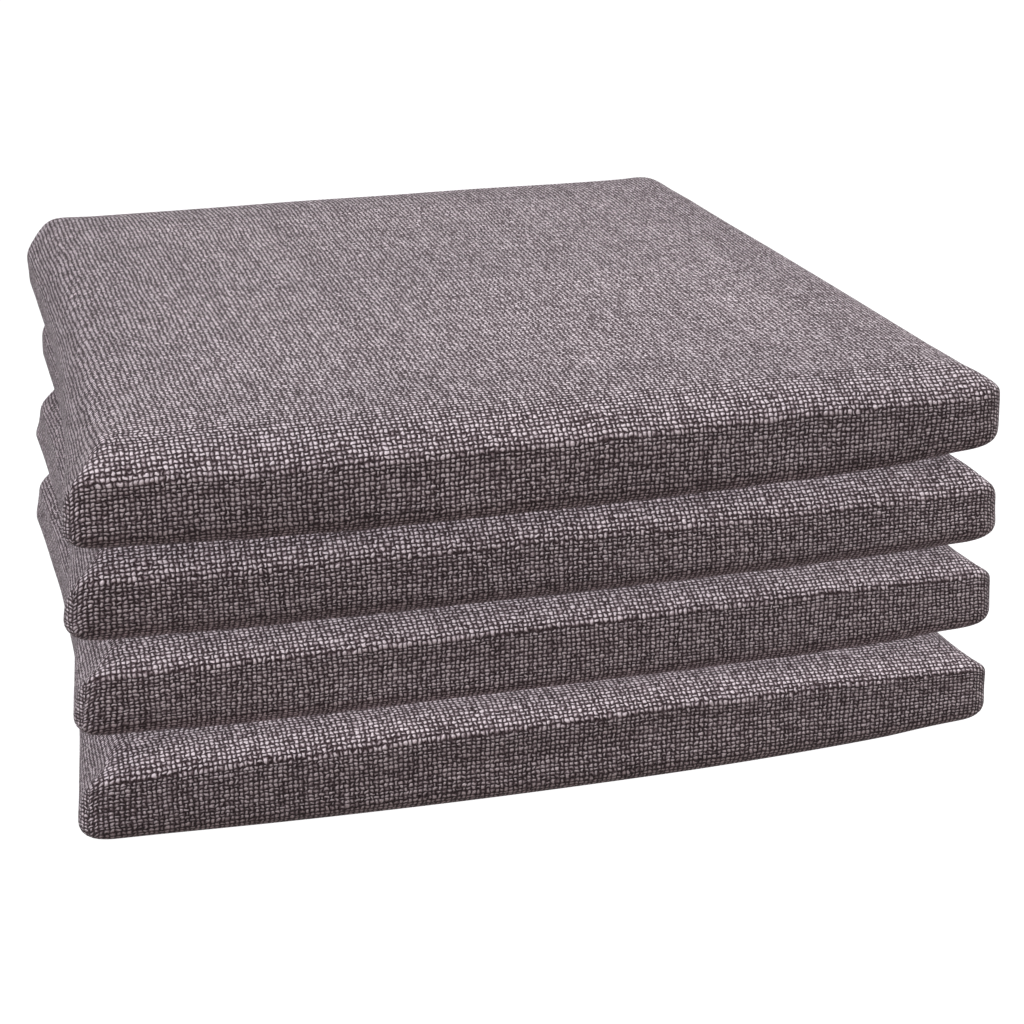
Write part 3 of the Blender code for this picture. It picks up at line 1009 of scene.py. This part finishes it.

# The weave's colours by the yarn's height, from painted shade in the gaps between the
# yarns, over a dark ground, to a painted highlight on the tops of the lightest, and the
# slight patches over the whole cloth
WEAVE_SHADE_TO_HIGHLIGHT = (
    (0.00, (0.030, 0.016, 0.018)),
    (0.22, (0.168, 0.118, 0.128)),
    (0.48, (0.500, 0.410, 0.440)),
    (0.80, (0.980, 0.880, 0.915)),
)
WEAVE_PATCHES = ((0.3, (0.93, 0.92, 0.93)), (0.7, (1.04, 1.03, 1.03)))


def woven(name, seed):
    """A coarse, nubby plain weave: dark ground, with painted shade in the gaps between the
    yarns and a painted highlight on the yarns' tops.
    """
    g = Graph(name)
    layer = float(seed)
    flat_u, flat_v, _ = g.split(g.node("ShaderNodeUVMap", uv_map="cloth").outputs[0])
    u = g.plus(g.math("DIVIDE", flat_u, YARN_PITCH), 300.0 + 17 * seed)
    v = g.plus(g.math("DIVIDE", flat_v, ROW_PITCH), 300.0 + 31 * seed)
    flat = g.vector(u, v, layer)
    turned = [g.vector(v, u, seed + step) for step in (5.0, 9.0)]
    drifts = g.noise(flat, 0.055, 2.0), g.noise(turned[0], 0.055, 2.0)
    wobbles = g.noise(flat, 0.90, 1.0), g.noise(turned[1], 0.90, 1.0)
    u = g.add_share(wobbles[0], YARN_WOBBLE, g.add_share(drifts[0], YARN_DRIFT, u))
    v = g.add_share(wobbles[1], YARN_WOBBLE, g.add_share(drifts[1], YARN_DRIFT, v))

    # Which crossing of the yarns this is, and whether the warp is on top there
    i = g.math("FLOOR", u)
    j = g.math("FLOOR", v)
    fu = g.minus(g.math("FRACT", u), 0.5)
    fv = g.minus(g.math("FRACT", v), 0.5)
    warp = g.times(g.math("FRACT", g.times(g.plus(i, j), 0.5)), 2.0)
    along = g.mix(warp, fu, fv)
    across = g.mix(warp, fv, fu)
    yarn = g.mix(warp, j, g.plus(i, 977.0))
    run = g.mix(warp, u, v)

    # The yarn's thickness, which differs from yarn to yarn and along each
    thick = g.random(yarn, 3.0 + seed)
    slub = g.noise(g.vector(g.times(run, 0.20), g.times(yarn, 3.7), layer), 1.0, 2.0)
    cell = g.random(i, j, layer)
    girth = g.times(thick, 0.22, 0.50)
    girth = g.math("MAXIMUM", g.add_share(slub, 0.8, girth), 0.34)
    span = g.math("DIVIDE", g.times(across, 1.75), girth)
    round_ = g.minus(1.0, g.times(span, span))
    round_ = g.math("SQRT", g.math("MAXIMUM", round_, 0.0))
    arc = g.math("COSINE", g.times(along, math.pi * 0.78))
    height = g.times(round_, arc)

    # Its strands and loose fibres
    strand = g.wave(g.plus(g.times(along, 3.2), g.times(across, 5.0)), 1.0)
    fibre = g.noise(g.vector(u, v, layer), 5.5, 2.0)
    relief = g.times(strand, 0.035, height)
    relief = g.add_share(fibre, 0.30, relief)
    relief = g.add_share(cell, 0.25, relief)

    # The yarn's height sets the colour: painted shade in the gaps and a painted highlight
    # on the crests, with the slubs and fibres as real tone
    crest = g.math("POWER", g.math("MAXIMUM", height, 0.0), 2.4)
    crest = g.times(crest, g.times(cell, 1.25, 0.52))
    tone_and_painted_light = g.times(height, 0.16, g.times(crest, 0.84))
    tone_and_painted_light = g.add_share(slub, 0.30, tone_and_painted_light)
    tone_and_painted_light = g.add_share(fibre, 0.90, tone_and_painted_light)
    shade = g.ramp(g.noise(flat, 0.02, 2.0), WEAVE_PATCHES)
    colour = g.mix_colour(1.0, g.ramp(tone_and_painted_light, WEAVE_SHADE_TO_HIGHLIGHT), shade, "MULTIPLY")
    g.bump(relief, 1.0, 0.00085)
    return g.finish(
        colour, 0.92, Sheen_Weight=0.25, Sheen_Roughness=0.5,
        Sheen_Tint=(0.95, 0.9, 0.92, 1.0), Specular_IOR_Level=0.2,
    )


def on_piece(name):
    """A new material's graph, and the point on the piece, in metres."""
    g = Graph(name)
    return g, g.node("ShaderNodeTexCoord").outputs["Object"]


def non_slip():
    """A fine dark cloth with a grid of small rubber dots."""
    g, where = on_piece("non_slip_base_looks")
    across, along, _ = g.split(where)
    x = g.math("DIVIDE", across, DOT_PITCH)
    y = g.math("DIVIDE", along, DOT_PITCH)
    x = g.plus(x, g.times(g.math("FLOOR", y), 0.5))
    dx = g.minus(g.math("FRACT", x), 0.5)
    dy = g.minus(g.math("FRACT", y), 0.5)
    away = g.math("SQRT", g.plus(g.times(dx, dx), g.times(dy, dy)))
    dot = g.node("ShaderNodeMapRange", interpolation_type="SMOOTHSTEP")
    g.put(dot.inputs["Value"], away)
    dot.inputs["From Min"].default_value = 0.20
    dot.inputs["From Max"].default_value = 0.15
    grip = dot.outputs[0]
    threads = g.times(g.wave(across, THREAD_PITCH), g.wave(along, THREAD_PITCH))
    fuzz = g.noise(where, 900.0, 3.0)
    cloth = g.times(threads, 0.5, fuzz)
    colour = g.ramp(cloth, ((0.1, (0.035, 0.031, 0.034)), (0.9, (0.095, 0.085, 0.090))))
    colour = g.mix_colour(grip, colour, (0.020, 0.019, 0.021, 1.0))
    height = g.plus(g.times(cloth, 0.12), grip)
    g.bump(height, 0.8, 0.0004)
    rough = g.minus(0.92, g.times(grip, 0.4))
    return g.finish(colour, rough, Specular_IOR_Level=0.4)


def cellular():
    """Open-cell foam."""
    g, where = on_piece("foam_looks")
    cells = g.cells(where, 900.0)
    tint = g.noise(where, 40.0, 2.0)
    tint = g.ramp(tint, ((0.3, (0.70, 0.60, 0.40)), (0.7, (0.80, 0.73, 0.54))))
    colour = g.ramp(cells, ((0.0, (0.45, 0.38, 0.24)), (0.5, (0.76, 0.68, 0.48))))
    colour = g.mix_colour(0.3, colour, tint)
    g.bump(cells, 0.7, 0.0004)
    return g.finish(colour, 0.95)


def felted():
    """The liner's thin bonded cloth, with its small pressed diamonds."""
    g, where = on_piece("liner_looks")
    fibre = g.noise(where, 1500.0, 4.0)
    cells = g.cells(where, 500.0, 0.1)
    height = g.plus(cells, g.times(fibre, 0.4))
    colour = g.ramp(height, ((0.1, (0.60, 0.60, 0.59)), (0.9, (0.86, 0.86, 0.85))))
    g.bump(height, 0.6, 0.0002)
    return g.finish(colour, 0.9)


def taped(name, dark, light, pitch):
    """A fine twill ribbon."""
    g, where = on_piece(name)
    x, _, z = g.split(where)
    ridge = g.wave(g.math("DIVIDE", g.plus(x, z), pitch), 1.0)
    cross = g.times(g.wave(g.math("DIVIDE", z, pitch), 1.0), 0.5)
    fuzz = g.noise(where, 2500.0, 2.0)
    height = g.times(g.plus(ridge, cross), 0.3, fuzz)
    colour = g.ramp(height, ((0.15, dark), (0.85, light)))
    g.bump(height, 0.6, 0.00015)
    return g.finish(colour, 0.85, Sheen_Weight=0.15)


def moulded():
    """The coil's nylon, scuffed along its crests."""
    g, where = on_piece("coil_looks")
    grain = g.noise(where, 700.0, 3.0)
    colour = g.ramp(grain, ((0.3, (0.030, 0.025, 0.027)), (0.7, (0.060, 0.050, 0.054))))
    rough = g.times(grain, 0.25, 0.30)
    g.bump(grain, 0.2, 0.0001)
    return g.finish(colour, rough)


def plated():
    """Nickel plate: brushed, with tumbled edges and small scratches."""
    g, where = on_piece("zip_metal_looks")
    stretch = g.node("ShaderNodeMapping")
    stretch.inputs["Scale"].default_value = (1.0, 1.0, 8.0)
    g.put(stretch.inputs["Vector"], where)
    grain = g.noise(stretch.outputs[0], 900.0, 3.0)
    blotch = g.noise(where, 220.0, 3.0)
    colour = g.ramp(blotch, ((0.3, (0.42, 0.41, 0.40)), (0.7, (0.58, 0.57, 0.55))))
    rough = g.times(grain, 0.22, 0.18)
    g.bump(grain, 0.15, 0.0001)
    return g.finish(colour, rough, Metallic=1.0)


def threaded():
    """Twisted sewing thread."""
    g, where = on_piece("thread_looks")
    twist = g.noise(where, 3000.0, 1.0)
    colour = g.ramp(twist, ((0.3, (0.10, 0.080, 0.088)), (0.7, (0.22, 0.185, 0.20))))
    g.bump(twist, 0.4, 0.0001)
    return g.finish(colour, 0.7)


# ---------- stage


def make_stage():
    """Pale paper on the floor, and a white wall all round, which only shows, for
    views from low down."""
    size = 8.0
    points = [(-size, -size, 0), (size, -size, 0), (size, size, 0), (-size, size, 0)]
    floor = build_object("floor", points, [(0, 1, 2, 3)])
    floor.location.z = cad_box[0][2] - 0.0002
    lit = {"Specular_IOR_Level": 0.0, "Emission_Color": (1.0, 1.0, 1.0, 1.0)}
    g, where = on_piece("floor_paper")
    grain = g.noise(where, 3.0, 2.0)
    colour = g.ramp(grain, ((0.3, (0.245,) * 3), (0.7, (0.255,) * 3)))
    floor.data.materials.append(g.finish(colour, 1.0, Emission_Strength=0.86, **lit))
    floor.visible_diffuse = False

    sides, radius, height = 48, 7.8, 6.0
    angles = [2 * math.pi * k / sides for k in range(sides)]
    ring = [(radius * math.cos(a), radius * math.sin(a)) for a in angles]
    points = [(x, y, z) for z in (0.0, height) for x, y in ring]
    pairs = [(k, (k + 1) % sides) for k in range(sides)]
    faces = [(a, b, sides + b, sides + a) for a, b in pairs]
    screen = build_object("backdrop", points, faces)
    g = Graph("backdrop_paper")
    glow = g.finish((0, 0, 0, 1), 1.0, Emission_Strength=1.0, **lit)
    screen.data.materials.append(glow)
    screen.visible_diffuse = screen.visible_glossy = screen.visible_shadow = False


def place_light(light, location, direction):
    """Puts a light in the scene, shining from the given direction."""
    obj = bpy.data.objects.new(light.name, light)
    obj.location = location
    obj.rotation_euler = Vector(direction).to_track_quat("Z", "Y").to_euler()
    bpy.context.scene.collection.objects.link(obj)


# The overhead light: where it is, what it points at, and its power with shadows
# and, to fill the gaps between the pads, without
KEY_PLACE = Vector((0.85, -0.55, 1.25))
KEY_TARGET = Vector((0, 0, 0.1))
KEY_SIZE = 1.3
KEYS = (("key", 6.6, True), ("key_fill", 12.2, False))

# Distant lights without shadows: where they shine from, strength and colour
SUNS = (
    ("fill", (-0.80, -0.12, 1.0), 1.71, (0.99, 0.985, 1.04)),
    ("front", (0.05, -1.0, -0.45), 0.29, (1.0, 0.76, 0.73)),
    ("left", (-1.0, 0.05, 0.25), 0.45, (1.0, 1.0, 1.0)),
)
SUN_SOFTNESS = math.radians(20)

# The sky's colour from the horizon up, by height
SKY = ((0.0, (0.062, 0.049, 0.047, 1)), (0.6, (0.24, 0.235, 0.24, 1)))


def make_light():
    """A large soft light overhead at the front right, weak ones from the other
    sides, and a pale sky."""
    world = bpy.data.worlds.new("studio")
    bpy.context.scene.world = world
    world.use_nodes = True
    tree = world.node_tree
    back = tree.nodes["Background"]
    kinds = ("TexCoord", "SeparateXYZ", "ValToRGB")
    way, split, ramp = (tree.nodes.new(f"ShaderNode{kind}") for kind in kinds)
    tree.links.new(way.outputs["Generated"], split.inputs[0])
    tree.links.new(split.outputs[2], ramp.inputs[0])
    for element, (height, colour) in zip(ramp.color_ramp.elements, SKY):
        element.position = height
        element.color = colour
    tree.links.new(ramp.outputs[0], back.inputs["Color"])
    back.inputs["Strength"].default_value = 1.0
    for name, energy, shadows in KEYS:
        key = bpy.data.lights.new(name, "AREA")
        key.shape = "DISK"
        key.size = KEY_SIZE
        key.energy = energy
        key.use_shadow = shadows
        place_light(key, KEY_PLACE, KEY_PLACE - KEY_TARGET)
    for name, direction, strength, colour in SUNS:
        sun = bpy.data.lights.new(name, "SUN")
        sun.energy = strength
        sun.angle = SUN_SOFTNESS
        sun.color = colour
        sun.use_shadow = False
        place_light(sun, (0, 0, 0), direction)
    bpy.context.scene.view_settings.view_transform = "Standard"


# The camera: where it stands from its target, in degrees and metres, and its lens,
# in millimetres
CAMERA_AZIMUTH, CAMERA_ELEVATION, CAMERA_ROLL = -15.84, 21.73, -0.14
CAMERA_TARGET = Vector((0.0144, -0.0566, 0.0749))
CAMERA_DISTANCE = 1.1685
SENSOR_WIDTH = 36.0
LENS_LENGTH = 89.47265625


def make_camera():
    """Standing a little to the left of the stack's front, looking down."""
    angles = (CAMERA_AZIMUTH, CAMERA_ELEVATION, CAMERA_ROLL)
    azimuth, elevation, roll = (math.radians(angle) for angle in angles)
    back = Vector(
        (
            math.sin(azimuth) * math.cos(elevation),
            -math.cos(azimuth) * math.cos(elevation),
            math.sin(elevation),
        )
    )
    data = bpy.data.cameras.new("camera")
    data.sensor_width = SENSOR_WIDTH
    data.lens = LENS_LENGTH
    data.clip_end = 50.0
    camera = bpy.data.objects.new("camera", data)
    camera.location = CAMERA_TARGET + back * CAMERA_DISTANCE
    facing = back.to_track_quat("Z", "Y").to_matrix()
    camera.rotation_euler = (facing @ Matrix.Rotation(roll, 3, "Z")).to_euler()
    bpy.context.scene.collection.objects.link(camera)
    bpy.context.scene.camera = camera


# ---------- assembly


def dress(obj, material, pad, body, slot, *nodes):
    """Gives a piece its finish and place, and hides the frame's nodes that it stands for.
    """
    obj.data.materials.clear()
    obj.data.materials.append(material)
    if pad is not None:
        obj.matrix_world = pad.matrix
    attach(obj, body)
    if nodes:
        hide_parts(*nodes)


def make_pad(number, looks):
    """All the pieces of one pad, on its body and on its zip's two."""
    pad = Pad(number)
    n, body = pad.name, pad.name
    weave = woven(f"woven_cover_looks_{number}", number)
    cover = make_cover(pad)
    dress(cover, weave, pad, body, "woven_cover", f"{n}_cover_top")
    base = base_object(pad)
    dress(base, looks["base"], pad, body, "non_slip_base", f"{n}_cover_base")
    liner = inner_object(pad, "liner", LINER_INSET, True)
    dress(liner, looks["liner"], pad, body, "liner_cloth", f"{n}_foam_liner")
    foam = inner_object(pad, "foam", FOAM_INSET, False)
    dress(foam, looks["foam"], pad, body, "foam", f"{n}_foam_core")
    for side, word in ((1, "upper"), (-1, "lower")):
        tape = tape_object(pad, side)
        dress(tape, looks["tape"], pad, body, "zip_tape", f"{n}_zip_tape_{word}")
        coil = coil_object(pad, side)
        dress(coil, looks["coil"], pad, body, "zip_coil", f"{n}_zip_coil_{word}")
    dress(stitching_object(pad), looks["thread"], pad, body, "woven_cover")
    label = label_object(pad)
    dress(label, looks["label"], pad, body, "label_cloth", f"{n}_care_label")
    for node, piece, bevel, rides in (
        ("zip_stop_closed", "stop_closed", 0.0005, body),
        ("zip_stop_open", "stop_open", 0.0005, body),
        ("zip_slider", "slider", 0.00022, f"zip_slider_{number}"),
        ("zip_pull", "pull_tab", 0.0003, f"zip_pull_{number}"),
    ):
        metal = copy_of(f"{n}_{node}", f"{n}_{piece}", bevel)
        dress(metal, looks["metal"], None, rides, "zip_metal", f"{n}_{node}")


looks = {
    "base": non_slip(),
    "foam": cellular(),
    "liner": felted(),
    "tape": taped("tape_looks", (0.045, 0.036, 0.040), (0.12, 0.10, 0.108), 0.0008),
    "label": taped("label_looks", (0.66, 0.66, 0.65), (0.82, 0.82, 0.80), 0.0005),
    "coil": moulded(),
    "metal": plated(),
    "thread": threaded(),
}
make_camera()
make_light()
make_stage()
for number in PADS:
    make_pad(number, looks)
